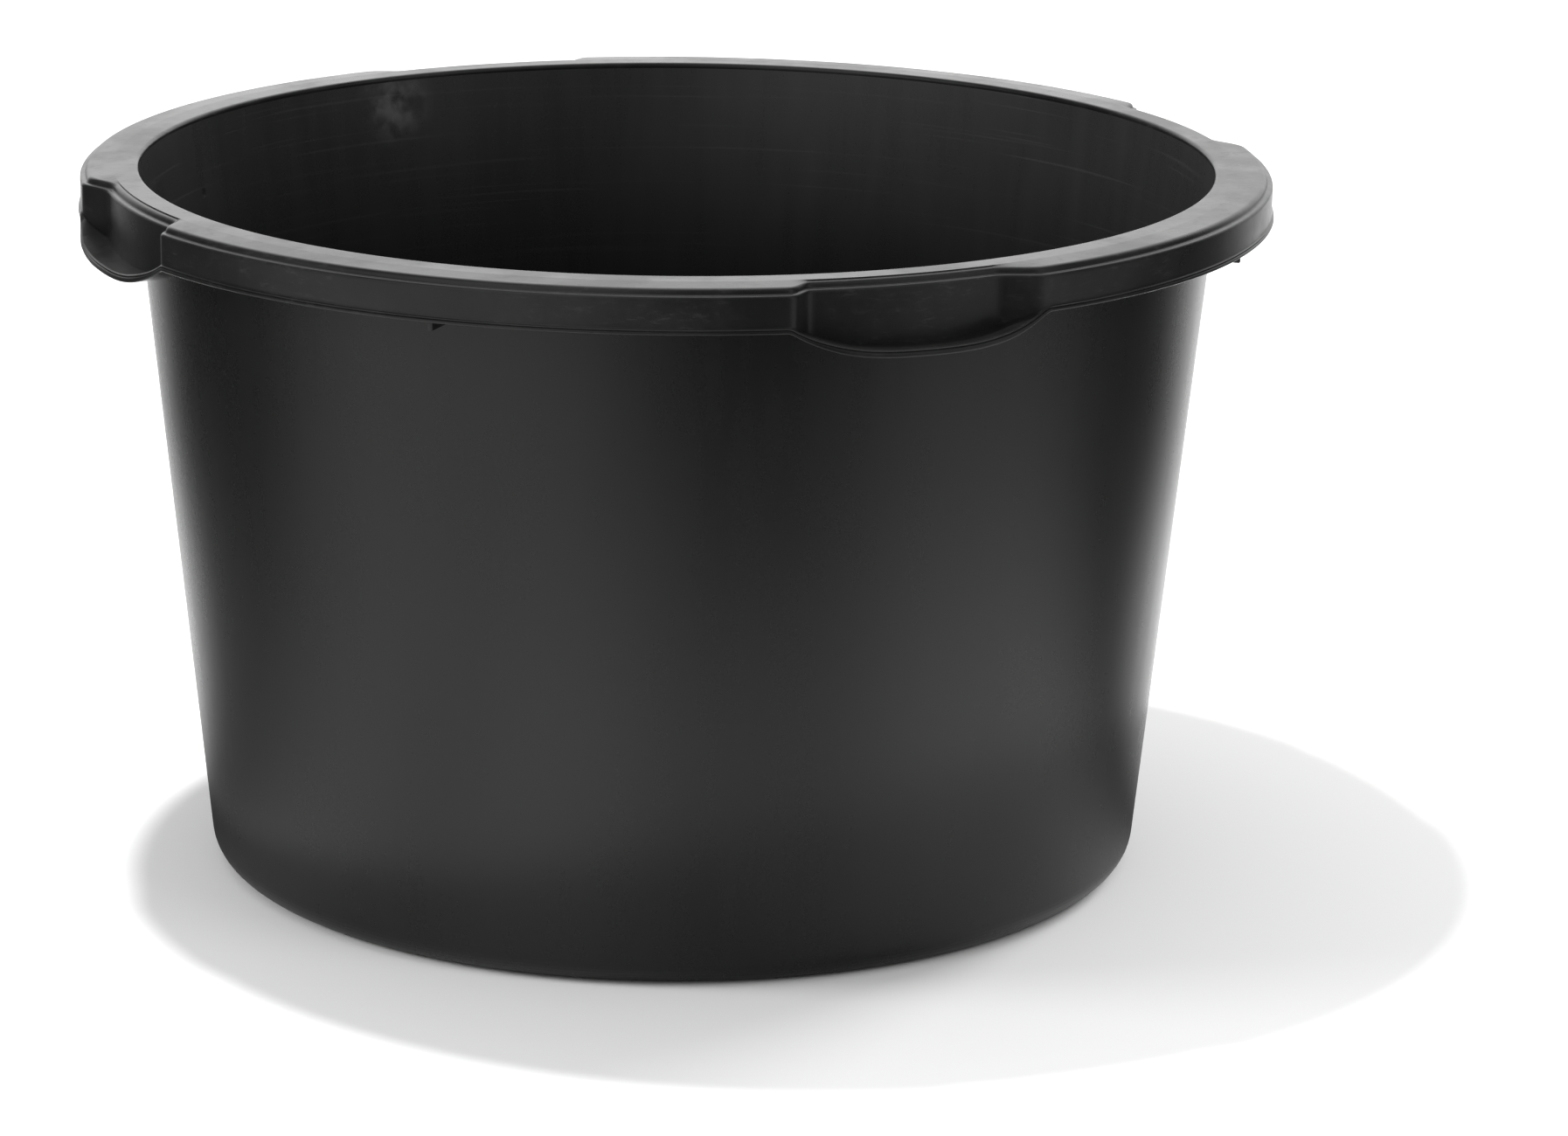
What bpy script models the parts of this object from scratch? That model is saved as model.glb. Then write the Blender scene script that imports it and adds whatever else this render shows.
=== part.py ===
"""Round mortar mixing tub, about 90 litres.

The real tub is one plastic moulding. It is modelled as the regions that the moulding is made of:
a floor, a heel, a tapering wall, a flat rim deck, four lengths of hanging skirt, four grips, each
a recessed panel with a finger ledge under it, and four ribs under the rim. Neighbouring regions
stand PARTING apart, and nothing on the tub moves.

Metres, +Z up. The origin is the centre of the circle that the tub stands on. A grip is centred on
-Y, +X, +Y and -X.
"""

import math

import bmesh
import bpy
from mathutils import Vector

# Driving dimensions of the vessel.
HEIGHT = 0.389  # ground to the top of the rim
WALL_TOP_RADIUS = 0.2965  # outer face of the wall, carried up to the rim's top
BASE_RADIUS = 0.2575  # outer face of the wall, carried down to the ground
WALL = 0.0030  # thickness of the wall and of the rim
FLOOR = 0.0035  # thickness of the floor
HEEL_RADIUS = 0.016  # outside rounding between the floor and the wall
STANDING_RING = 0.026  # width of the flat ring that the tub stands on
FLOOR_RISE = 0.002  # how far the middle of the floor is held off the ground

# Driving dimensions of the rim.
RIM_REACH = 0.0285  # wall's outer face to the skirt's outer face, at the rim's top
MOUTH_ROUNDING = 0.002  # rounding between the deck and the inside of the wall
DECK_EDGE_SETBACK = 0.0025  # how far the deck's edge lies inside the skirt's outer face
DECK_EDGE_ROUNDING = 0.0022
SHOULDER_DROP = 0.0040  # rim's top to the shoulder that the deck's edge stands on
SHOULDER_ROUNDING = 0.0016
SKIRT_DROP = 0.0235  # rim's top to the skirt's lower edge
BEAD_REACH = 0.0012  # how far the bead along the skirt's lower edge stands proud
BEAD_HEIGHT = 0.0020

# Driving dimensions of a grip.
GRIPS = 4
GRIP_ANGLE = math.radians(25.2)  # the whole grip, seen from above
JOG_ANGLE = math.radians(2.2)  # the slanted return at each end of it
GRIP_RECESS = 0.0114  # how far the panel lies behind the skirt's outer face
GRIP_SAG = 0.0115  # how far the ledge's top hangs below the skirt's lower edge, in its middle
SAG_POWER = 3  # how full the droop is; 2 would make it a parabola
LEDGE_OVERHANG = 0.0037  # how far the ledge reaches past the skirt's outer face, in its middle
LEDGE_EASE = 0.4  # share of the half grip along which the ledge grows to its full reach
LEDGE_THICKNESS = 0.003

# Driving dimensions of a rib.
RIB_THICKNESS = 0.003
RIB_BELOW_SKIRT = 0.005  # how far a rib reaches below the skirt's lower edge

PARTING = 0.0003  # space between neighbouring regions
SEAM_LAND = 0.0005  # flat of a panel's top between its seam with the deck and its upright
RIB_CLEARANCE = 0.0006  # the same for ribs, whose ends are flat and their neighbours round

# Fineness of the round shapes.
CRISP_ANGLE = math.radians(35)  # edges that turn more than this are drawn sharp
TURN_STEPS = 96
SECTION_STEP = math.radians(3.0)
GRIP_STEPS = 14
JOG_STEPS = 4
HEEL_STEPS = 7
ARC_STEPS = 4

# Derived sizes.
RIM_RADIUS = WALL_TOP_RADIUS + RIM_REACH
PANEL_DEPTH = DECK_EDGE_SETBACK + max(DECK_EDGE_ROUNDING, WALL) + SEAM_LAND
DECK_RADIUS = RIM_RADIUS - GRIP_RECESS - PANEL_DEPTH - PARTING
MOUTH_RADIUS = WALL_TOP_RADIUS - WALL
JOG_SHARE = 2 * JOG_ANGLE / GRIP_ANGLE
GRIP_CENTRES = [2 * math.pi * (n / GRIPS - 0.25) for n in range(GRIPS)]
GRIP_NAMES = ["front", "right", "back", "left"]
SKIRT_NAMES = ["front_right", "back_right", "back_left", "front_left"]


def wall_radius(z):
    """Radius of the wall's outer face at height z."""
    return BASE_RADIUS + (WALL_TOP_RADIUS - BASE_RADIUS) * z / HEIGHT


def smooth(t):
    """Eases from 0 to 1 as t goes from 0 to 1, flat at both ends."""
    t = max(0.0, min(1.0, t))
    return t * t * (3 - 2 * t)


def on_circle(centre, radius, degrees):
    """A point of radius and height on a circle in that plane, the angle counted from +radius."""
    angle = math.radians(degrees)
    return centre[0] + radius * math.cos(angle), centre[1] + radius * math.sin(angle)


def arc(centre, radius, start, end, steps=ARC_STEPS):
    """Points along an arc, its angles as in on_circle."""
    return [on_circle(centre, radius, start + (end - start) * n / steps) for n in range(steps + 1)]


def plastic(name, colour, roughness):
    """A plain plastic material."""
    material = bpy.data.materials.new(name)
    material.use_nodes = True
    shader = material.node_tree.nodes["Principled BSDF"]
    shader.inputs["Base Color"].default_value = (*colour, 1)
    shader.inputs["Roughness"].default_value = roughness
    shader.inputs["Metallic"].default_value = 0
    return material


def shade(mesh):
    """Shades a mesh smooth, with crisp edges."""
    mesh.shade_smooth()
    mesh.set_sharp_from_angle(angle=CRISP_ANGLE)


def turned(name, profile, material, collection):
    """A ring or disc turned about Z. The profile runs clockwise, so down its outer side.

    A disc's profile starts and ends on the axis and is left open there.
    """
    mesh = bpy.data.meshes.new(name)
    on_axis = profile[0][0] == 0
    count = len(profile)
    edges = [(n, (n + 1) % count) for n in range(count - on_axis)]
    mesh.from_pydata([(r, 0, z) for r, z in profile], edges, [])
    part = bpy.data.objects.new(name, mesh)
    collection.objects.link(part)
    screw = part.modifiers.new("turn", "SCREW")
    screw.axis = "Z"
    screw.steps = TURN_STEPS
    screw.render_steps = TURN_STEPS
    screw.use_merge_vertices = True
    screw.merge_threshold = 0.00001
    mesh.materials.append(material)
    graph = bpy.context.evaluated_depsgraph_get()
    part.data = bpy.data.meshes.new_from_object(part.evaluated_get(graph))
    part.modifiers.clear()
    shade(part.data)
    return part


def lofted(name, sections, material, collection):
    """A solid through sections that differ, each a list of the same number of points."""
    body = bmesh.new()
    rows = [[body.verts.new(point) for point in section] for section in sections]
    count = len(rows[0])
    for row, following in zip(rows, rows[1:]):
        for n in range(count):
            m = (n + 1) % count
            body.faces.new((row[n], row[m], following[m], following[n]))
    body.faces.new(reversed(rows[0]))
    body.faces.new(rows[-1])
    bmesh.ops.recalc_face_normals(body, faces=body.faces)
    mesh = bpy.data.meshes.new(name)
    body.to_mesh(mesh)
    body.free()
    shade(mesh)
    mesh.materials.append(material)
    part = bpy.data.objects.new(name, mesh)
    collection.objects.link(part)
    return part


def placed(section, angle):
    """A section's points of radius and height, turned to their place round the tub."""
    return [Vector((r * math.cos(angle), r * math.sin(angle), z)) for r, z in section]


def rim_section(face, bottom, bead=0.0):
    """The rim outside the deck ring, as points of radius and height.

    It ends the deck in a rounded edge, steps out to a shoulder and hangs down as a skirt whose outer
    face is at radius face and whose lower edge is at height bottom. With a bead, it stands proud of
    the skirt by that much along its lower edge.
    """
    seam = DECK_RADIUS + PARTING
    edge = face - DECK_EDGE_SETBACK
    shoulder = HEIGHT - SHOULDER_DROP
    back = face - WALL
    under = shoulder - WALL
    return [
        (seam, HEIGHT),
        *arc((edge - DECK_EDGE_ROUNDING, HEIGHT - DECK_EDGE_ROUNDING), DECK_EDGE_ROUNDING, 90, 0),
        (edge, shoulder),
        *arc((face - SHOULDER_ROUNDING, shoulder - SHOULDER_ROUNDING), SHOULDER_ROUNDING, 90, 0),
        (face, bottom + 2 * BEAD_HEIGHT),
        (face + bead, bottom + BEAD_HEIGHT),
        (face + bead, bottom),
        (back, bottom),
        (back, under),
        (edge - WALL, under),
        (edge - WALL, HEIGHT - WALL),
        (seam, HEIGHT - WALL),
    ]


def heel_arc():
    """The centre of the rounding that touches both the ground and the wall, and the angle in degrees
    at which it touches the wall."""
    lean = math.atan2(WALL_TOP_RADIUS - BASE_RADIUS, HEIGHT)
    touch = HEEL_RADIUS * (1 - math.sin(lean)) / math.cos(lean)
    centre = BASE_RADIUS + touch * math.sin(lean) - HEEL_RADIUS * math.cos(lean)
    return (centre, HEEL_RADIUS), -math.degrees(lean)


def build_floor(material, collection):
    """A flat plate, stepped up inside its standing ring."""
    centre, _ = heel_arc()
    edge = centre[0] - PARTING
    step = edge - STANDING_RING
    ramp = 2 * FLOOR_RISE
    profile = [
        (0, FLOOR_RISE + FLOOR),
        (step - ramp, FLOOR_RISE + FLOOR),
        (step, FLOOR),
        (edge, FLOOR),
        (edge, 0),
        (step, 0),
        (step - ramp, FLOOR_RISE),
        (0, FLOOR_RISE),
    ]
    return turned("floor", profile, material, collection)


def build_heel(material, collection):
    """The rounded ring between the floor and the wall."""
    centre, end = heel_arc()
    outside = arc(centre, HEEL_RADIUS, end, -90, HEEL_STEPS)
    inside = []
    for n in range(HEEL_STEPS + 1):
        share = n / HEEL_STEPS
        thickness = FLOOR + (WALL - FLOOR) * share
        angle = -90 + (end + 90) * share
        inside.append(on_circle(centre, HEEL_RADIUS - thickness, angle))
    return turned("heel", outside + inside, material, collection)


def build_wall(material, collection):
    """The tapering wall, from the heel up to the underside of the deck."""
    centre, end = heel_arc()
    low_out = on_circle(centre, HEEL_RADIUS, end)
    low_in = on_circle(centre, HEEL_RADIUS - WALL, end)
    top = HEIGHT - WALL - PARTING
    outer = wall_radius(top)
    lift = Vector((0, PARTING))
    profile = [(outer - WALL, top), (outer, top), Vector(low_out) + lift, Vector(low_in) + lift]
    return turned("wall", profile, material, collection)


def build_deck(material, collection):
    """The flat top of the rim, rounded where it meets the inside of the wall."""
    corner = (MOUTH_RADIUS + MOUTH_ROUNDING, HEIGHT - MOUTH_ROUNDING)
    profile = [
        *arc(corner, MOUTH_ROUNDING, 180, 90),
        (DECK_RADIUS, HEIGHT),
        (DECK_RADIUS, HEIGHT - WALL),
        (MOUTH_RADIUS, HEIGHT - WALL),
    ]
    return turned("rim_deck", profile, material, collection)


def build_skirt(name, centre, material, collection):
    """One length of skirt, from one grip to the next."""
    half = math.pi / GRIPS - GRIP_ANGLE / 2 - PARTING / DECK_RADIUS
    steps = math.ceil(2 * half / SECTION_STEP)
    section = rim_section(RIM_RADIUS, HEIGHT - SKIRT_DROP, BEAD_REACH)
    angles = [centre + half * (2 * n / steps - 1) for n in range(steps + 1)]
    return lofted(name, [placed(section, a) for a in angles], material, collection)


def grip_shape(share):
    """The outer radius of a grip's panel and the height of its lower edge, share being 0 in the
    grip's middle and -1 and 1 at its ends."""
    depth = smooth((1 - abs(share)) / JOG_SHARE)
    end = HEIGHT - SKIRT_DROP + LEDGE_THICKNESS
    sag = (GRIP_SAG + LEDGE_THICKNESS) * (1 - abs(share) ** SAG_POWER)
    return RIM_RADIUS - GRIP_RECESS * depth, end - sag


def grip_stations():
    """Shares of the half grip at which sections are taken, closer together in the jogs."""
    jog = [1 - JOG_SHARE * n / JOG_STEPS for n in range(JOG_STEPS)]
    flat = 1 - JOG_SHARE
    middle = [flat * (1 - 2 * n / GRIP_STEPS) for n in range(GRIP_STEPS + 1)]
    return jog + middle + [-s for s in reversed(jog)]


def build_grip_panel(name, centre, material, collection):
    """The recessed panel that the palm bears on, with its slanted end returns."""
    sections = []
    for share in grip_stations():
        section = rim_section(*grip_shape(share))
        sections.append(placed(section, centre + share * GRIP_ANGLE / 2))
    return lofted(name, sections, material, collection)


def build_grip_ledge(name, centre, material, collection):
    """The drooping ledge under the panel, which runs into the skirt's bead at both ends."""
    rounding = (LEDGE_THICKNESS - PARTING) / 2
    sections = []
    for share in grip_stations():
        face, panel_edge = grip_shape(share)
        root = face - WALL
        growth = smooth((1 - abs(share)) / LEDGE_EASE)
        tip = RIM_RADIUS + BEAD_REACH + (LEDGE_OVERHANG - BEAD_REACH) * growth
        nose = arc((tip - rounding, panel_edge - PARTING - rounding), rounding, 90, -90)
        section = [(root, panel_edge - PARTING), *nose, (root, panel_edge - LEDGE_THICKNESS)]
        sections.append(placed(section, centre + share * GRIP_ANGLE / 2))
    return lofted(name, sections, material, collection)


def build_rib(name, angle, material, collection):
    """A flat radial rib between the wall and the skirt, seen just below the skirt's edge."""
    top = HEIGHT - WALL - RIB_CLEARANCE
    step = HEIGHT - SHOULDER_DROP - WALL - RIB_CLEARANCE
    bottom = HEIGHT - SKIRT_DROP - RIB_BELOW_SKIRT
    outer = RIM_RADIUS - WALL - RIB_CLEARANCE
    outline = [
        (wall_radius(top) + RIB_CLEARANCE, top),
        (wall_radius(bottom) + RIB_CLEARANCE, bottom),
        (outer, bottom),
        (outer, step),
        (outer - DECK_EDGE_SETBACK, step),
        (outer - DECK_EDGE_SETBACK, top),
    ]
    curve = bpy.data.curves.new(name, "CURVE")
    curve.dimensions = "2D"
    curve.fill_mode = "BOTH"
    curve.extrude = RIB_THICKNESS / 2
    spline = curve.splines.new("POLY")
    spline.points.add(len(outline) - 1)
    for point, (r, z) in zip(spline.points, outline):
        point.co = (r, z, 0, 1)
    spline.use_cyclic_u = True
    curve.materials.append(material)
    rib = bpy.data.objects.new(name, curve)
    rib.rotation_euler = (math.pi / 2, 0, angle)
    collection.objects.link(rib)
    return rib


def main():
    for old in list(bpy.data.objects):
        bpy.data.objects.remove(old, do_unlink=True)
    tub = bpy.data.collections.new("mortar_tub")
    bpy.context.scene.collection.children.link(tub)
    body = plastic("black_polyethylene", (0.012, 0.012, 0.0125), 0.35)
    rim = plastic("rim_black_polyethylene", (0.015, 0.015, 0.0155), 0.40)

    build_floor(body, tub)
    build_heel(body, tub)
    build_wall(body, tub)
    build_deck(rim, tub)
    for name, centre in zip(GRIP_NAMES, GRIP_CENTRES):
        build_grip_panel(f"grip_{name}_panel", centre, rim, tub)
        build_grip_ledge(f"grip_{name}_ledge", centre, rim, tub)
    for name, centre in zip(SKIRT_NAMES, GRIP_CENTRES):
        between = centre + math.pi / GRIPS
        build_skirt(f"skirt_{name}", between, rim, tub)
        build_rib(f"rib_{name}", between, rim, tub)


main()
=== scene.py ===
# %% [markdown]
# # A round mortar mixing tub
# The tub is one injection moulding of black polyethylene: a tapering wall on a rounded heel, and a
# rim that turns over flat and hangs down as a skirt. Four grips are pressed into the rim. Here the
# moulding is made in three pieces that meet without a gap: the vessel, the rim and the ribs.
# The first lines load the fixed model, which gives the sizes that the pieces have to keep. Sizes
# are in metres, and azimuths are in degrees, counted from +X towards +Y.

# %% Load the frame
import math

import bmesh
import bpy
from mathutils import Matrix, Vector


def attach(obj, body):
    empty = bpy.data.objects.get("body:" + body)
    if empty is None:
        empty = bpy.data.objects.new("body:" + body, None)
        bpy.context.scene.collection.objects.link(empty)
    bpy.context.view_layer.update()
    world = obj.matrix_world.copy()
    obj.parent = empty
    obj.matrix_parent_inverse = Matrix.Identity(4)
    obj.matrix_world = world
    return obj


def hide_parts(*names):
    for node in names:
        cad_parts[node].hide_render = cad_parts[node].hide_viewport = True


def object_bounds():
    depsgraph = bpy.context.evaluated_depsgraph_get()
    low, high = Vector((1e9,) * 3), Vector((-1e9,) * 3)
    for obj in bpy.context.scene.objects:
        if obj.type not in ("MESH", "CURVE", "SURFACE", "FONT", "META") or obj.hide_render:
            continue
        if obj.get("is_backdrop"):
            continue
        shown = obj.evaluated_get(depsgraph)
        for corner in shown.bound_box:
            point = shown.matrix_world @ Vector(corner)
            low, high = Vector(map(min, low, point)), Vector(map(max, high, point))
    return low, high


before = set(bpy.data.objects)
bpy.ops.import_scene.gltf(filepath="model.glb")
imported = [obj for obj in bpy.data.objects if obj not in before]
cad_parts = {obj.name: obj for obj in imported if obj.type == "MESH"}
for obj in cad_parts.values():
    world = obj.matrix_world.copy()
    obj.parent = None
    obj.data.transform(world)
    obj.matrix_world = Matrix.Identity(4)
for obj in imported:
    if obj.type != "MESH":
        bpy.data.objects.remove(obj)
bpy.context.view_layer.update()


def box_as_lists():
    return [list(corner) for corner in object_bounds()]


# %% [markdown]
# Everything here is round, so a size is best read as a distance from the tub's axis. The function
# below measures a node of the frame that way: its inner and outer radius, and its lowest and
# highest point. The pieces are then worked out from these measures and from a few small sizes of
# their own.


# %% Measure the frame's rings
def ring(node):
    """Inner radius, outer radius, lowest and highest point of a node of the frame."""
    points = [vertex.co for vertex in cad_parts[node].data.vertices]
    radii = [point.xy.length for point in points]
    heights = [point.z for point in points]
    return min(radii), max(radii), min(heights), max(heights)


MOUTH_RADIUS, DECK_RADIUS, DECK_UNDERSIDE, HEIGHT = ring("rim_deck")
_, RIM_RADIUS, _, _ = ring("grip_front_panel")
_, BEAD_RADIUS, SKIRT_BOTTOM, _ = ring("skirt_front_right")
_, LEDGE_RADIUS, LEDGE_UNDERSIDE, _ = ring("grip_front_ledge")
_, HEEL_TOP_RADIUS, _, HEEL_TOP = ring("heel")
_, HEEL_CENTRE_RADIUS, _, FLOOR_TOP = ring("floor")
_, WALL_RADIUS, _, WALL_HIGH = ring("wall")
_, _, RIB_BOTTOM, _ = ring("rib_front_left")
WALL = HEIGHT - DECK_UNDERSIDE
TAPER = (WALL_RADIUS - HEEL_TOP_RADIUS) / (WALL_HIGH - HEEL_TOP)
print(f"rim {2 * RIM_RADIUS:.3f} across, {HEIGHT:.3f} high, plastic {WALL:.4f} thick")

# %% [markdown]
# Node trees are easier to read as sums than as rows of boxes and wires. The class below wraps one
# output of a node, so that `1 - mask` or `depth * 0.5` adds the Math node that it names. `Tree.add`
# makes any other node from its type, its settings and what goes into its sockets. The same two
# classes serve the geometry trees and the material trees.


# %% A small language for node trees
class Output:
    """One output of a node. Arithmetic on it adds Math nodes to its tree."""

    def __init__(self, tree, socket):
        self.tree = tree
        self.socket = socket

    def __add__(self, other):
        return self.tree.math("ADD", self, other)

    def __mul__(self, other):
        return self.tree.math("MULTIPLY", self, other)

    def __sub__(self, other):
        return self.tree.math("SUBTRACT", self, other)

    def __rsub__(self, other):
        return self.tree.math("SUBTRACT", other, self)

    def __truediv__(self, other):
        return self.tree.math("DIVIDE", self, other)

    def __rtruediv__(self, other):
        return self.tree.math("DIVIDE", other, self)

    def __pow__(self, other):
        return self.tree.math("POWER", self, other)

    def __mod__(self, other):
        return self.tree.math("FLOORED_MODULO", self, other)

    def __abs__(self):
        return self.tree.math("ABSOLUTE", self)

    __radd__ = __add__
    __rmul__ = __mul__

    def output(self, name):
        """Another output of the same node."""
        return Output(self.tree, self.socket.node.outputs[name])


class Tree:
    """A node tree that is built by calls to add."""

    def __init__(self, nodes, links):
        self.nodes = nodes
        self.links = links

    def add(self, kind, settings=None, sockets=None, output=0):
        """A new node. Settings are made first, because some of them change the sockets."""
        node = self.nodes.new(kind)
        for name, value in (settings or {}).items():
            setattr(node, name, value)
        for name, value in (sockets or {}).items():
            self.feed(node.inputs[name], value)
        return Output(self, node.outputs[output]) if node.outputs else node

    def math(self, operation, first, second=0.0):
        """A Math node on one or two values."""
        return self.add("ShaderNodeMath", {"operation": operation}, {0: first, 1: second})

    def feed(self, socket, value):
        """Links an output to a socket, or sets the socket's own value."""
        if isinstance(value, Output):
            self.links.new(value.socket, socket)
        else:
            socket.default_value = value


def smooth_step(value, low, high):
    """0 at low and 1 at high, with a soft slope between; low may be the larger."""
    settings = {"interpolation_type": "SMOOTHSTEP"}
    if not isinstance(value, Output):
        share = min(1.0, max(0.0, (value - low) / (high - low)))
        return share * share * (3 - 2 * share)
    return value.tree.add("ShaderNodeMapRange", settings, {0: value, 1: low, 2: high})


# %% [markdown]
# The two finishes are the same plastic. The vessel left its mould with a satin surface that has
# picked up faint drag marks, and the rim is rubbed a little paler where the tub is carried and
# stacked. Each finish is a sum of noises at different scales, and each noise adds its own small
# amount to the colour, the roughness and the relief.


# %% Finish helpers
def principled(name):
    """A new material's tree and its Principled shader."""
    material = bpy.data.materials.new(name)
    material.use_nodes = True
    tree = Tree(material.node_tree.nodes, material.node_tree.links)
    return material, tree, material.node_tree.nodes["Principled BSDF"]


def noise(tree, place, scale, detail=4.0, rough=0.5):
    """Blender's noise, from 0 to 1."""
    sockets = {"Vector": place, "Scale": scale, "Detail": detail, "Roughness": rough}
    return tree.add("ShaderNodeTexNoise", None, sockets)


def stretched(tree, place, scale):
    """The place with each axis scaled by its own amount."""
    return tree.add("ShaderNodeVectorMath", {"operation": "MULTIPLY"}, {0: place, 1: scale})


def grey(tree, value):
    """A grey of that brightness."""
    return tree.add("ShaderNodeCombineColor", None, {0: value, 1: value, 2: value})


def near_point(place, point, low, high):
    """1 within low of a point, fading to 0 at high."""
    settings = {"operation": "DISTANCE"}
    away = place.tree.add("ShaderNodeVectorMath", settings, {0: place, 1: point}, "Value")
    return smooth_step(away, high, low)


def relief(tree, shader, height, depth):
    """Lets a height from 0 to 1 stand up as a surface relief that deep, in metres."""
    bump = tree.add("ShaderNodeBump", None, {"Height": height, "Distance": depth})
    tree.feed(shader.inputs["Normal"], bump)


# %% Finishes
SMUDGE = (-0.062, 0.284, 0.374)  # a rub of dried mortar on the wall inside
SMUDGE_CORE, SMUDGE_EDGE = 0.004, 0.030  # how far it is full, and where it ends
NICK = (-0.204, 0.200, 0.346)  # a nick in the wall inside
NICK_CORE, NICK_EDGE = 0.002, 0.005
BODY_RELIEF = 0.0012  # how far the relief's lowest and highest points are apart
RIM_RELIEF = 0.0003


def body_plastic():
    """Satin, with drag marks down the wall; the inside is paler towards the rim."""
    material, tree, shader = principled("satin_black_polyethylene")
    place = tree.add("ShaderNodeTexCoord", None, None, "Object")
    x = tree.add("ShaderNodeSeparateXYZ", None, {0: place})
    y, z = x.output("Y"), x.output("Z")
    middle_of_wall = HEEL_TOP_RADIUS - WALL / 2 + (z - HEEL_TOP) * TAPER
    inside = tree.math("LESS_THAN", (x * x + y * y) ** 0.5, middle_of_wall)
    cloud = noise(tree, place, 9.0)
    grain = noise(tree, place, 260.0, 2.0)
    drags = noise(tree, stretched(tree, place, (75, 75, 2)), 1.0, 3.0, 0.6)
    scratches = smooth_step(noise(tree, stretched(tree, place, (5, 5, 420)), 1.0, 2.0), 0.60, 0.72)
    flakes = smooth_step(noise(tree, place, 70.0), 0.35, 0.65)
    smudge = near_point(place, SMUDGE, SMUDGE_CORE, SMUDGE_EDGE) * flakes
    nick_and_shade = near_point(place, NICK, NICK_CORE, NICK_EDGE)
    # Inside, the colour is paler near the rim and fades out further down.
    paler_high_inside = inside * smooth_step(z, 0.60 * HEIGHT, HEIGHT)
    pale = 0.008 + cloud * 0.009 + drags * 0.008 + scratches * 0.010 + smudge * 0.060
    base = 0.003 + cloud * 0.003 + drags * 0.002 + paler_high_inside * pale
    # The nick is pressed in by the relief and darkened in colour by painted shade.
    tree.feed(shader.inputs["Base Color"], grey(tree, base * (1 - nick_and_shade * 0.8)))
    tree.feed(shader.inputs["Roughness"], 0.20 + cloud * 0.07 + drags * 0.06 + grain * 0.03)
    waves = noise(tree, stretched(tree, place, (5, 5, 3)), 1.0, 1.0)
    height = waves * 0.96 + drags * 0.03 + grain * 0.006 - nick_and_shade * inside
    relief(tree, shader, height, BODY_RELIEF)
    return material


def rim_plastic():
    """Satin, scuffed in patches where the rim is handled and stacked."""
    material, tree, shader = principled("rubbed_black_polyethylene")
    place = tree.add("ShaderNodeTexCoord", None, None, "Object")
    cloud = noise(tree, place, 25.0)
    patches = smooth_step(noise(tree, place, 14.0, 6.0, 0.65), 0.42, 0.62)
    fine = noise(tree, stretched(tree, place, (120, 120, 400)), 1.0, 5.0, 0.7)
    scuffs = smooth_step(fine, 0.52, 0.75)
    grain = noise(tree, place, 320.0, 2.0)
    base = 0.005 + cloud * 0.004 + patches * 0.003 + scuffs * patches * 0.016
    tree.feed(shader.inputs["Base Color"], grey(tree, base))
    tree.feed(shader.inputs["Roughness"], 0.25 + cloud * 0.06 + patches * 0.08 + scuffs * 0.06)
    relief(tree, shader, cloud * 0.8 + grain * 0.08 + scuffs * 0.12, RIM_RELIEF)
    return material


BODY_PLASTIC = body_plastic()
RIM_PLASTIC = rim_plastic()
print("finishes:", BODY_PLASTIC.name, "and", RIM_PLASTIC.name)

# %% [markdown]
# The vessel is a shape of revolution, like a turned bowl. Its outline runs down the outside, round
# the heel, across the underside to the axis, and back up the inside, so one Screw modifier makes a
# closed wall of the true thickness. Points a short way from each rounded corner keep the flat
# stretches flat when the surface is shaded smooth.


# %% Outline helpers
GUARD = 0.0005  # how far from a corner a guarding point stands


def arc(centre, radius, start, end, steps=6):
    """Points along an arc in the plane of radius and height, angles in degrees from +radius."""
    points = []
    for n in range(steps + 1):
        angle = math.radians(start + (end - start) * n / steps)
        points.append(Vector(centre) + radius * Vector((math.cos(angle), math.sin(angle))))
    return points


def guarded(points):
    """The outline with a point added near both ends of each long straight stretch."""
    outline = []
    for here, there in zip(points, points[1:]):
        outline.append(here)
        run = Vector(there) - Vector(here)
        if run.length > 4 * GUARD:
            step = run.normalized() * GUARD
            outline += [Vector(here) + step, Vector(there) - step]
    return [Vector(point) for point in outline + [points[-1]]]


# %% The vessel
HEEL_RADIUS = 0.016  # of the rounding between the wall and the floor
STANDING_RING = 0.026  # how wide the ring is that touches the ground
FLOOR = 0.0035  # how thick the floor is
FLOOR_RISE = FLOOR_TOP - FLOOR  # how far its middle is off the ground
TURN_STEPS = 256


def wall_radius(z):
    """Radius of the wall's outer face at height z."""
    return HEEL_TOP_RADIUS + (z - HEEL_TOP) * TAPER


def vessel_outline():
    """Down the outside, under the floor, and up the inside, from the rim's underside and back."""
    lean = math.degrees(math.atan(TAPER))
    centre = Vector((HEEL_CENTRE_RADIUS, HEEL_RADIUS))
    step = centre.x - STANDING_RING
    ramp = 2 * FLOOR_RISE
    outside = [Vector((wall_radius(DECK_UNDERSIDE), DECK_UNDERSIDE))]
    outside += arc(centre, HEEL_RADIUS, -lean, -90, 10)
    outside += [Vector((step, 0)), Vector((step - ramp, FLOOR_RISE)), Vector((0, FLOOR_RISE))]
    inside = [Vector((0, FLOOR_TOP)), Vector((step - ramp, FLOOR_TOP)), Vector((step, FLOOR))]
    inside += arc(centre, HEEL_RADIUS - WALL, -90, -lean, 10)
    inside += [Vector((MOUTH_RADIUS, DECK_UNDERSIDE))]
    return guarded(outside) + guarded(inside)


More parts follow.
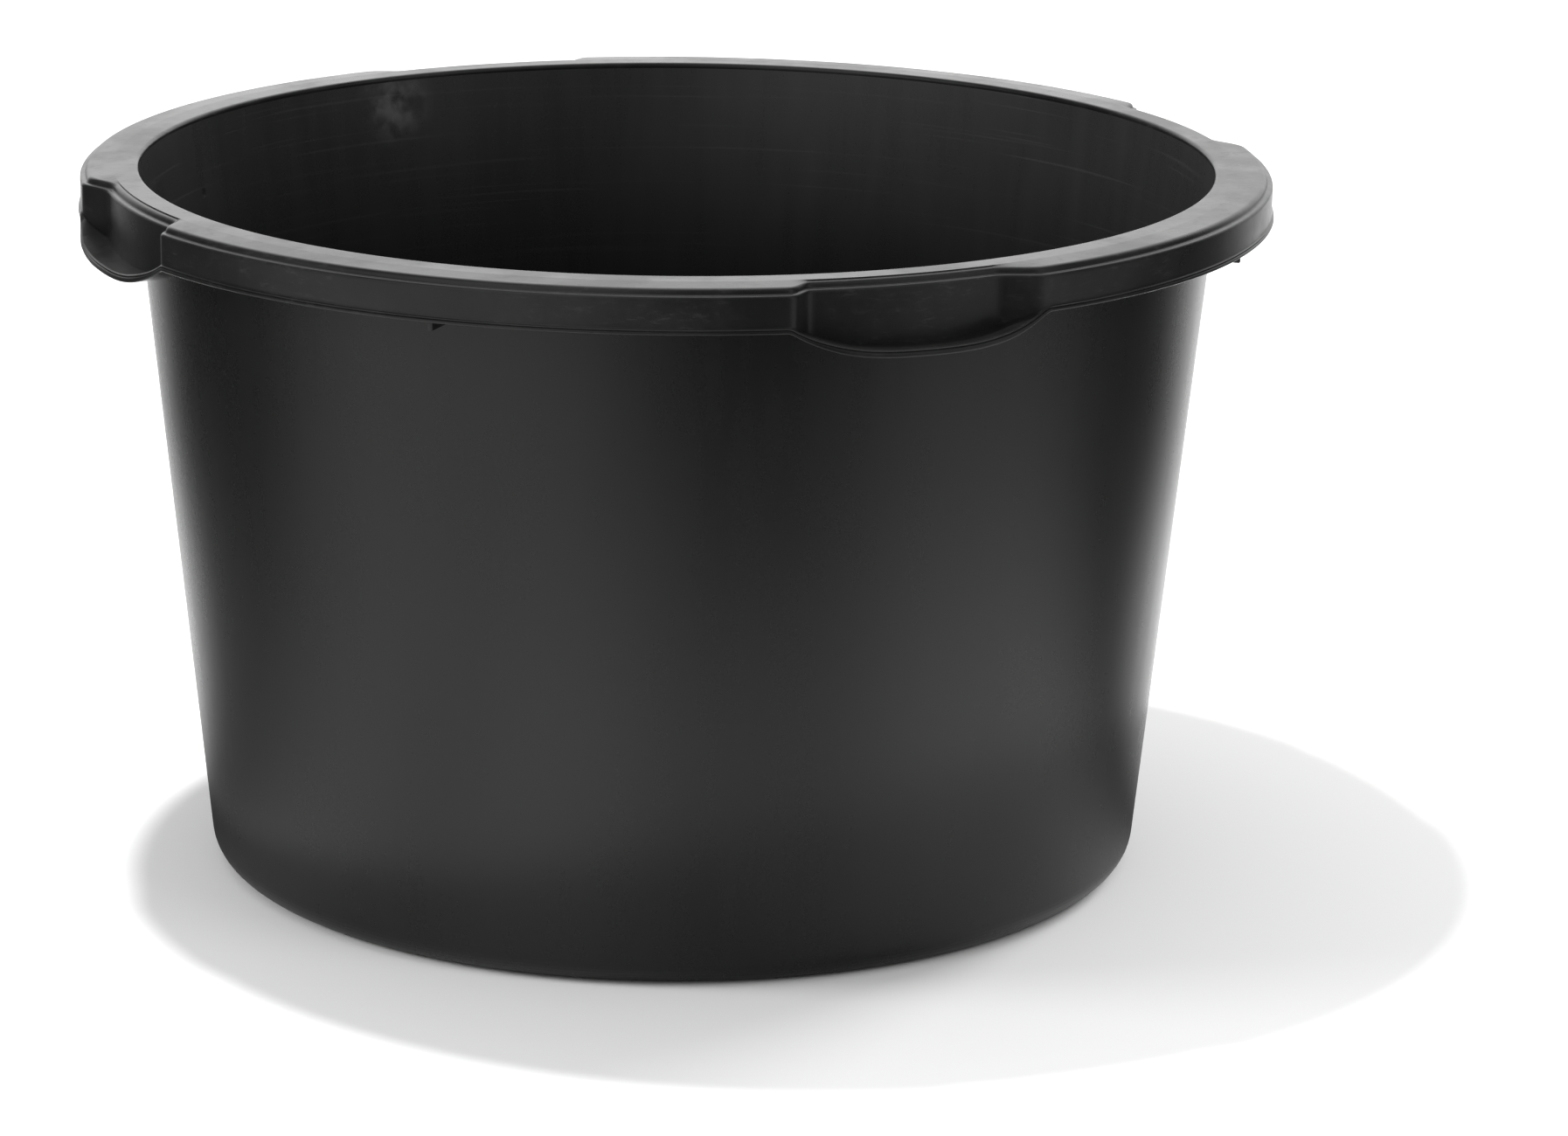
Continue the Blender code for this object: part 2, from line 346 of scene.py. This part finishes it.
def turned(name, outline):
    """A closed solid turned about the tub's axis from an outline that starts and ends off it."""
    count = len(outline)
    mesh = bpy.data.meshes.new(name)
    on_axis = [n for n in range(count) if outline[n].x == 0]
    edges = [(n, (n + 1) % count) for n in range(count) if n != on_axis[0]]
    mesh.from_pydata([(p.x, 0, p.y) for p in outline], edges, [])
    piece = bpy.data.objects.new(name, mesh)
    bpy.context.scene.collection.objects.link(piece)
    screw = piece.modifiers.new("turn", "SCREW")
    screw.steps = TURN_STEPS
    screw.render_steps = TURN_STEPS
    screw.use_merge_vertices = True
    screw.merge_threshold = 0.00001
    return piece


def settled(piece, material, crisp=40):
    """The piece with its modifiers made into a plain mesh, closed, facing out and shaded smooth."""
    graph = bpy.context.evaluated_depsgraph_get()
    mesh = bpy.data.meshes.new_from_object(piece.evaluated_get(graph))
    piece.modifiers.clear()
    work = bmesh.new()
    work.from_mesh(mesh)
    bmesh.ops.remove_doubles(work, verts=work.verts, dist=0.000005)
    bmesh.ops.recalc_face_normals(work, faces=work.faces)
    open_edges = sum(1 for edge in work.edges if len(edge.link_faces) != 2)
    volume = work.calc_volume(signed=True)
    work.to_mesh(mesh)
    work.free()
    mesh.materials.clear()
    mesh.materials.append(material)
    mesh.shade_smooth()
    mesh.set_sharp_from_angle(angle=math.radians(crisp))
    piece.data = mesh
    faces = len(mesh.polygons)
    print(f"{piece.name}: {faces} faces, {open_edges} open edges, {volume * 1e6:.0f} ml")
    return piece


vessel = settled(turned("vessel", vessel_outline()), BODY_PLASTIC)

# %% [markdown]
# The rim follows a rule all the way round, which is what Geometry Nodes are good at. Its section
# is the same everywhere, except that at each grip the skirt is pressed in, its lower edge sags, and
# the bead along that edge grows wider and thicker into a ledge for the fingers. A grip slants back
# to the rim quickly at one end and slowly at the other. So the tree sweeps one section round a
# circle, then moves each point in, out, up or down. The angle says how far, and the point's own
# radius and height say which of these moves it takes.

# %% The rim's section
MOUTH_ROUNDING = 0.002
DECK_FALL = 0.0007  # how far the deck falls from the grips' line to its edge
DECK_EDGE_SETBACK = 0.0027  # how far the step under the deck's edge is set in
BROW_ROUNDING = 0.0030  # where the deck turns down to the shoulder
VALLEY_ROUNDING = 0.0015  # where it turns out again onto the shoulder
SHOULDER_DROP = 0.0040  # how far the shoulder is below the deck
SHOULDER_ROUNDING = 0.0017
BROW_REACH = BROW_ROUNDING + VALLEY_ROUNDING  # between the centres of the two roundings
BROW_LEAN = math.asin(1 - (SHOULDER_DROP - DECK_FALL) / BROW_REACH)
BROW_RADIUS = RIM_RADIUS - SHOULDER_ROUNDING - BROW_REACH * math.cos(BROW_LEAN)
BEAD_HEIGHT = 0.0020
BEAD_FILLET = 0.0012  # between the skirt's face and the bead
LEDGE_THICKNESS = 0.003


def rim_section():
    """The rim's section between two grips, as points of radius and height."""
    edge = RIM_RADIUS - DECK_EDGE_SETBACK
    shoulder = HEIGHT - SHOULDER_DROP
    back = RIM_RADIUS - WALL
    nose = BEAD_HEIGHT / 2
    points = [Vector((MOUTH_RADIUS, DECK_UNDERSIDE))]
    points += arc((MOUTH_RADIUS + MOUTH_ROUNDING, HEIGHT - MOUTH_ROUNDING), MOUTH_ROUNDING, 180, 90)
    points += [Vector((DECK_RADIUS, HEIGHT))]
    brow = Vector((BROW_RADIUS, HEIGHT - DECK_FALL - BROW_ROUNDING))
    valley = brow + BROW_REACH * Vector((math.cos(BROW_LEAN), math.sin(BROW_LEAN)))
    lean = math.degrees(BROW_LEAN)
    points += arc(brow, BROW_ROUNDING, 87, lean, 8)
    points += arc(valley, VALLEY_ROUNDING, 180 + lean, 270, 6)[1:]
    corner = (RIM_RADIUS - SHOULDER_ROUNDING, shoulder - SHOULDER_ROUNDING)
    points += arc(corner, SHOULDER_ROUNDING, 90, 0)
    fillet = (RIM_RADIUS + BEAD_FILLET, SKIRT_BOTTOM + 2 * BEAD_HEIGHT)
    points += arc(fillet, BEAD_FILLET, 180, 250, 3)
    points += arc((BEAD_RADIUS - nose, SKIRT_BOTTOM + nose), nose, 80, -90)
    points += [Vector((back, SKIRT_BOTTOM)), Vector((back, shoulder - WALL))]
    points += [Vector((edge - WALL, shoulder - WALL)), Vector((edge - WALL, DECK_UNDERSIDE))]
    return guarded(points)


print("rim section:", len(rim_section()), "points")

# %% The rim's tree
RIM_STEPS = 960
GRIPS = 4
GRIP_ANGLE = math.radians(25.2)
JOG_ANGLE = math.radians(2.4)  # the slanted return at a grip's short end
LONG_JOG_ANGLE = math.radians(4.6)  # and at its other end
GRIP_RECESS = 0.0114
SAG_POWER = 3  # the lower edge is flatter in the middle than a parabola
LEDGE_EASE = 0.4  # the share of half a grip over which the ledge grows
ROOT_MARGIN = 0.00005  # a point further out than this from the skirt's face is on the bead


def geometry_tree(name, inputs):
    """A geometry tree with a geometry input, the named number inputs, and its group output."""
    group = bpy.data.node_groups.new(name, "GeometryNodeTree")
    group.interface.new_socket(name="Geometry", in_out="OUTPUT", socket_type="NodeSocketGeometry")
    group.interface.new_socket(name="Geometry", in_out="INPUT", socket_type="NodeSocketGeometry")
    for label, kind in inputs.items():
        group.interface.new_socket(name=label, in_out="INPUT", socket_type=f"NodeSocket{kind}")
    tree = Tree(group.nodes, group.links)
    return group, tree, tree.add("NodeGroupInput")


def run_tree(piece, group, values):
    """Gives the piece the tree as a modifier, with each named input set by its identifier."""
    modifier = piece.modifiers.new("shape", "NODES")
    modifier.node_group = group
    for item in group.interface.items_tree:
        if item.in_out == "INPUT" and item.name in values:
            modifier[item.identifier] = values[item.name]
    piece.update_tag()
    return piece


def rim_tree():
    """Sweeps the section round the rim, then presses in the grips and draws out their ledges."""
    numbers = ["Rim Radius", "Deck Radius", "Edge Radius", "Skirt Middle", "Ledge Root",
               "Nose Middle", "Grip Angle", "Jog Angle", "Long Jog Angle", "Recess", "Sag",
               "Ledge Reach", "Ledge Thickening", "Sag Power", "Ledge Ease"]
    inputs = {"Steps": "Int", "Grips": "Int", "Material": "Material"}
    inputs.update({label: "Float" for label in numbers})
    group, tree, given = geometry_tree("rim_rule", inputs)
    size = given.output

    section = tree.add("GeometryNodeMeshToCurve", None, {"Mesh": size("Geometry")})
    circle_sockets = {"Resolution": size("Steps"), "Radius": size("Rim Radius")}
    circle = tree.add("GeometryNodeCurvePrimitiveCircle", None, circle_sockets)
    upright = tree.add("GeometryNodeSetCurveNormal", {"mode": "Z_UP"}, {"Curve": circle})
    sweep = tree.add("GeometryNodeCurveToMesh", None, {"Curve": upright, "Profile Curve": section})

    position = tree.add("GeometryNodeInputPosition")
    x = tree.add("ShaderNodeSeparateXYZ", None, {0: position})
    y, z = x.output("Y"), x.output("Z")
    radius = (x * x + y * y) ** 0.5
    pitch = 2 * math.pi / size("Grips")
    turn = tree.math("ARCTAN2", y, x)
    lap = turn / pitch + 0.5
    offset = lap % 1.0 - 0.5
    share = abs(offset) * pitch / (size("Grip Angle") * 0.5)
    # The long ends face each other, across the front right corner and the back left one.
    handed = tree.math("FLOOR", lap) % 2.0 * 2.0 - 1.0
    long_end = tree.math("GREATER_THAN", offset * handed, 0.0)
    jog = size("Jog Angle") + long_end * (size("Long Jog Angle") - size("Jog Angle"))
    jog_share = jog * 2 / size("Grip Angle")

    depth = smooth_step(share, 1.0, 1 - jog_share)
    growth = smooth_step(share, 1.0, 1 - size("Ledge Ease"))
    droop = tree.math("MAXIMUM", 1 - share ** size("Sag Power"), 0.0)

    limits = {0: radius, 1: size("Deck Radius"), 2: size("Edge Radius")}
    pressed = tree.add("ShaderNodeMapRange", None, limits)
    low = tree.math("LESS_THAN", z, size("Skirt Middle"))
    nose = tree.math("GREATER_THAN", radius, size("Ledge Root"))
    inward = pressed * (1 - nose) * depth * size("Recess")
    outward = nose * growth * size("Ledge Reach")
    stretch = (radius - inward + outward) / radius
    upper = nose * tree.math("GREATER_THAN", z, size("Nose Middle"))
    raised = upper * growth * size("Ledge Thickening")
    moved = {0: x * stretch, 1: y * stretch, 2: z + raised - low * droop * size("Sag")}
    place = tree.add("ShaderNodeCombineXYZ", None, moved)
    shaped = tree.add("GeometryNodeSetPosition", None, {"Geometry": sweep, "Position": place})
    real = tree.add("GeometryNodeRealizeInstances", None, {"Geometry": shaped})
    finish = {"Geometry": real, "Material": size("Material")}
    done = tree.add("GeometryNodeSetMaterial", None, finish)
    tree.add("NodeGroupOutput", None, {"Geometry": done})
    return group


# %% The rim
def outline_object(name, points):
    """An object that holds only a closed outline, ready to be swept."""
    mesh = bpy.data.meshes.new(name)
    count = len(points)
    mesh.from_pydata(points, [(n, (n + 1) % count) for n in range(count)], [])
    piece = bpy.data.objects.new(name, mesh)
    bpy.context.scene.collection.objects.link(piece)
    return piece


def make_rim():
    """The whole rim, from its section and its tree."""
    # A swept outline's X runs outwards and its Y runs down, on a circle drawn counter-clockwise.
    points = [(p.x - RIM_RADIUS, -p.y, 0) for p in rim_section()]
    piece = outline_object("rim", points)
    sizes = {
        "Steps": RIM_STEPS,
        "Grips": GRIPS,
        "Material": RIM_PLASTIC,
        "Rim Radius": RIM_RADIUS,
        "Deck Radius": DECK_RADIUS,
        "Edge Radius": BROW_RADIUS,
        "Skirt Middle": (SKIRT_BOTTOM + HEIGHT) / 2,
        "Ledge Root": RIM_RADIUS + ROOT_MARGIN,
        "Nose Middle": SKIRT_BOTTOM + BEAD_HEIGHT / 2,
        "Grip Angle": GRIP_ANGLE,
        "Jog Angle": JOG_ANGLE,
        "Long Jog Angle": LONG_JOG_ANGLE,
        "Recess": GRIP_RECESS,
        "Sag": SKIRT_BOTTOM - LEDGE_UNDERSIDE,
        "Ledge Reach": LEDGE_RADIUS - BEAD_RADIUS,
        "Ledge Thickening": LEDGE_THICKNESS - BEAD_HEIGHT,
        "Sag Power": SAG_POWER,
        "Ledge Ease": LEDGE_EASE,
    }
    return settled(run_tree(piece, rim_tree(), sizes), RIM_PLASTIC)


rim = make_rim()

# %% [markdown]
# Under the rim, flat ribs tie the skirt to the wall so that the rim doesn't fold when the full tub
# is lifted. They are all alike, so one rib is drawn and the tree copies it round the axis.


# %% The ribs
RIB_THICKNESS = 0.003
RIB_EDGE = 0.0006  # how far its edges are softened


def rib_tree():
    """Copies one rib round the axis, halfway between the grips."""
    inputs = {"Ribs": "Int", "First Angle": "Float", "Material": "Material"}
    group, tree, given = geometry_tree("rib_ring", inputs)
    count = given.output("Ribs")
    points = tree.add("GeometryNodePoints", None, {"Count": count})
    index = tree.add("GeometryNodeInputIndex")
    angle = given.output("First Angle") + index * (2 * math.pi) / count
    turn = tree.add("ShaderNodeCombineXYZ", None, {2: angle})
    sockets = {"Points": points, "Instance": given.output("Geometry"), "Rotation": turn}
    copies = tree.add("GeometryNodeInstanceOnPoints", None, sockets)
    real = tree.add("GeometryNodeRealizeInstances", None, {"Geometry": copies})
    finish = {"Geometry": real, "Material": given.output("Material")}
    done = tree.add("GeometryNodeSetMaterial", None, finish)
    tree.add("NodeGroupOutput", None, {"Geometry": done})
    return group


def rib_plate():
    """One rib as a flat plate that stands in the plane of radius and height."""
    top = HEIGHT - WALL
    step = HEIGHT - SHOULDER_DROP - WALL
    outer = RIM_RADIUS - WALL
    outline = [
        (wall_radius(top), top),
        (wall_radius(RIB_BOTTOM), RIB_BOTTOM),
        (outer, RIB_BOTTOM),
        (outer, step),
        (outer - DECK_EDGE_SETBACK, step),
        (outer - DECK_EDGE_SETBACK, top),
    ]
    work = bmesh.new()
    half = RIB_THICKNESS / 2
    face = work.faces.new([work.verts.new((r, -half, z)) for r, z in outline])
    pulled = bmesh.ops.extrude_face_region(work, geom=[face])["geom"]
    corners = [item for item in pulled if isinstance(item, bmesh.types.BMVert)]
    bmesh.ops.translate(work, vec=(0, RIB_THICKNESS, 0), verts=corners)
    bmesh.ops.recalc_face_normals(work, faces=work.faces)
    mesh = bpy.data.meshes.new("ribs")
    work.to_mesh(mesh)
    work.free()
    piece = bpy.data.objects.new("ribs", mesh)
    bpy.context.scene.collection.objects.link(piece)
    return piece


def make_ribs():
    """All the ribs, from one plate and their tree."""
    sizes = {"Ribs": GRIPS, "First Angle": math.pi / GRIPS, "Material": RIM_PLASTIC}
    plate = rib_plate()
    soften = plate.modifiers.new("soften", "BEVEL")
    soften.width = RIB_EDGE
    soften.segments = 2
    return settled(run_tree(plate, rib_tree(), sizes), RIM_PLASTIC)


ribs = make_ribs()

# %% [markdown]
# Each piece now says what it rides on and which nodes of the frame it stands for; its finish was
# given when it was made. Nothing on a tub moves, so the pieces all ride on its one body.

# %% Tie the pieces to the frame
SIDES = ["front", "right", "back", "left"]
CORNERS = ["front_right", "back_right", "back_left", "front_left"]
STANDS_FOR = {
    "vessel": ["floor", "heel", "wall"],
    "rim": ["rim_deck"] + [f"skirt_{corner}" for corner in CORNERS]
    + [f"grip_{side}_{part}" for side in SIDES for part in ("panel", "ledge")],
    "ribs": [f"rib_{corner}" for corner in CORNERS],
}
for piece in (vessel, rim, ribs):
    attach(piece, "root")
    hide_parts(*STANDS_FOR[piece.name])
    print(piece.name, "stands for", len(STANDS_FOR[piece.name]), "nodes")

# %% [markdown]
# The tub stands on a white sweep in a bright studio. A small lamp high up behind the tub throws the
# round shadow, and large soft lamps fill it. Black satin plastic shows little colour of its own, so
# what models it is what it mirrors. Here that is a painted reflection, as of a bright backdrop
# behind, three soft cards in front and a dark room between them, painted into what the sweep and
# the room show to glossy rays only, which leaves the floor itself evenly white. The lamps aren't
# mirrored.


# %% The painted reflection in the plastic
# A patch of painted reflection is the azimuth of its middle, half its width and its soft border,
# in degrees.
BACK_REFLECTION_AZIMUTH, BACK_REFLECTION_HALF_WIDTH, BACK_REFLECTION_BORDER = 64, 40, 45
BACK_REFLECTION_NARROWING = 24  # how much of its half width is lost far from the tub
LEFT_REFLECTION = (205, 10, 42)
MIDDLE_REFLECTION = (255, 15, 35)
RIGHT_REFLECTION = (308, 6, 34)
# The two levels below are the painted reflection's brightness between the patches, near the tub and
# far from it.
NEAR_REFLECTION_LEVEL, FAR_REFLECTION_LEVEL = 0.13, 0.03  # how bright the rest of the room is, near and far


def from_direction(tree, x, y, degrees, half_width, soft):
    """1 within half_width of that azimuth, fading to 0 over the next soft degrees."""
    angle = tree.math("ARCTAN2", y, x) / (2 * math.pi)
    away = abs((angle + (0.5 - degrees / 360)) % 1.0 - 0.5) * 360
    return smooth_step(away, half_width + soft, half_width)


def painted_reflection(tree, x, y, distance):
    """Painted reflection of the studio in the plastic, by direction and by distance from the axis.
    """
    far = smooth_step(distance, 1.4 * RIM_RADIUS, 3.2 * RIM_RADIUS)
    narrowing = smooth_step(distance, RIM_RADIUS, 3.4 * RIM_RADIUS)
    half_width = BACK_REFLECTION_HALF_WIDTH - narrowing * BACK_REFLECTION_NARROWING
    back_reflection = from_direction(tree, x, y, BACK_REFLECTION_AZIMUTH, half_width, BACK_REFLECTION_BORDER)
    left = from_direction(tree, x, y, *LEFT_REFLECTION)
    middle = from_direction(tree, x, y, *MIDDLE_REFLECTION)
    right = from_direction(tree, x, y, *RIGHT_REFLECTION)
    front_reflections = left * 0.42 + middle * (1 - far) * 0.33 + right * (0.60 - far * 0.36)
    return back_reflection * 1.05 + front_reflections + NEAR_REFLECTION_LEVEL - far * (NEAR_REFLECTION_LEVEL - FAR_REFLECTION_LEVEL)


# %% Floor
FLOOR_SIZE = 30.0


def white_sweep():
    """Dull white, and to glossy rays painted with the studio's reflection."""
    material, tree, shader = principled("white_sweep")
    place = tree.add("ShaderNodeNewGeometry", None, None, "Position")
    x = tree.add("ShaderNodeSeparateXYZ", None, {0: place})
    y = x.output("Y")
    glossy = tree.add("ShaderNodeLightPath", None, None, "Is Glossy Ray")
    # Glossy rays see the floor painted with the studio's reflection.
    seen = 1 - glossy * (1 - painted_reflection(tree, x, y, (x * x + y * y) ** 0.5))
    tree.feed(shader.inputs["Base Color"], grey(tree, seen * 0.9))
    shader.inputs["Roughness"].default_value = 0.9
    shader.inputs["Specular IOR Level"].default_value = 0.0
    return material


def make_floor():
    """One large square, which belongs to the stage and not to the tub."""
    half = FLOOR_SIZE / 2
    mesh = bpy.data.meshes.new("sweep")
    corners = [(-half, -half, 0), (half, -half, 0), (half, half, 0), (-half, half, 0)]
    mesh.from_pydata(corners, [], [(0, 1, 2, 3)])
    mesh.materials.append(white_sweep())
    sweep = bpy.data.objects.new("sweep", mesh)
    bpy.context.scene.collection.objects.link(sweep)
    sweep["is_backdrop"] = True
    print(f"sweep: {FLOOR_SIZE:.0f} m across")


make_floor()

# %% Lamps
LIGHT_TARGET = Vector((0, 0, HEIGHT / 2))


def polar(distance, degrees, height):
    """A place at that distance from the tub's axis and that azimuth."""
    angle = math.radians(degrees)
    return Vector((distance * math.cos(angle), distance * math.sin(angle), height))


def lamp(name, place, size, power):
    """A round soft lamp, size metres across and power watts strong, that faces the tub."""
    light = bpy.data.lights.new(name, "AREA")
    light.shape = "DISK"
    light.size = size
    light.energy = power
    lamp_object = bpy.data.objects.new(name, light)
    lamp_object.location = place
    lamp_object.visible_glossy = False
    lamp_object.rotation_euler = (LIGHT_TARGET - place).to_track_quat("-Z", "Y").to_euler()
    bpy.context.scene.collection.objects.link(lamp_object)
    print(f"{name} lamp: {size} m across, {power} W")


lamp("key", polar(0.52, 130.4, 2.75), 0.2, 75)
lamp("fill", polar(4.0, -60, 3.0), 2.5, 35)
lamp("right", polar(3.5, 22, 1.6), 1.5, 95)
lamp("left", polar(3.5, 165, 1.6), 1.5, 65)


# %% The room
ROOM_LIGHT = 0.7  # how strongly the room lights everything
# The room shows glossy rays a painted reflection.
ROOM_REFLECTION_PAINT = 1.5  # and how strongly it shows in the plastic
ROOM_DISTANCE = 10.0  # so far away, the patches have taken their far shape


def bright_room():
    """A white surround that lights evenly, and that shows glossy rays the studio's painted
    reflection.
    """
    world = bpy.data.worlds.new("studio")
    world.use_nodes = True
    tree = Tree(world.node_tree.nodes, world.node_tree.links)
    background = world.node_tree.nodes["Background"]
    background.inputs["Color"].default_value = (1, 1, 1, 1)
    direction = tree.add("ShaderNodeTexCoord", None, None, "Generated")
    x = tree.add("ShaderNodeSeparateXYZ", None, {0: direction})
    y = x.output("Y")
    glossy = tree.add("ShaderNodeLightPath", None, None, "Is Glossy Ray")
    # Glossy rays see the painted reflection instead of the plain white.
    reflection_paint = painted_reflection(tree, x, y, ROOM_DISTANCE) * ROOM_REFLECTION_PAINT
    tree.feed(background.inputs["Strength"], ROOM_LIGHT * (1 - glossy) + reflection_paint * glossy)
    bpy.context.scene.world = world
    print(f"room: light {ROOM_LIGHT}, mirrored at {ROOM_REFLECTION_PAINT}")


bright_room()
bpy.context.scene.view_settings.view_transform = "Standard"

# %% [markdown]
# A long lens from a little above, as a catalogue shows such a tub.


# %% Camera
CAMERA_DISTANCE = 3.038  # from the tub's axis, level with the floor
CAMERA_HEIGHT = 0.9956
CAMERA_AZIMUTH = 247.42
CAMERA_AIM = 1.15  # degrees that it looks to the right of the axis
CAMERA_DIP = 15.421  # degrees that it looks down
CAMERA_ROLL = 0.727  # degrees that it is tilted about its own view
CAMERA_LENS = 129.56  # millimetres


def make_camera():
    """The camera, turned to its heading, then dipped, then rolled."""
    data = bpy.data.cameras.new("camera")
    data.lens = CAMERA_LENS
    camera = bpy.data.objects.new("camera", data)
    heading = Matrix.Rotation(math.radians(CAMERA_AZIMUTH - 270 - CAMERA_AIM), 4, "Z")
    dip = Matrix.Rotation(math.radians(90 - CAMERA_DIP), 4, "X")
    roll = Matrix.Rotation(math.radians(CAMERA_ROLL), 4, "Z")
    place = Matrix.Translation(polar(CAMERA_DISTANCE, CAMERA_AZIMUTH, CAMERA_HEIGHT))
    camera.matrix_world = place @ heading @ dip @ roll
    bpy.context.scene.collection.objects.link(camera)
    bpy.context.scene.camera = camera
    print(f"camera: {CAMERA_LENS} mm lens, {CAMERA_DISTANCE} m away, {CAMERA_HEIGHT} m up")


make_camera()

# %% Print the visual box and finish
bpy.context.view_layer.update()
print("visual box:", box_as_lists())
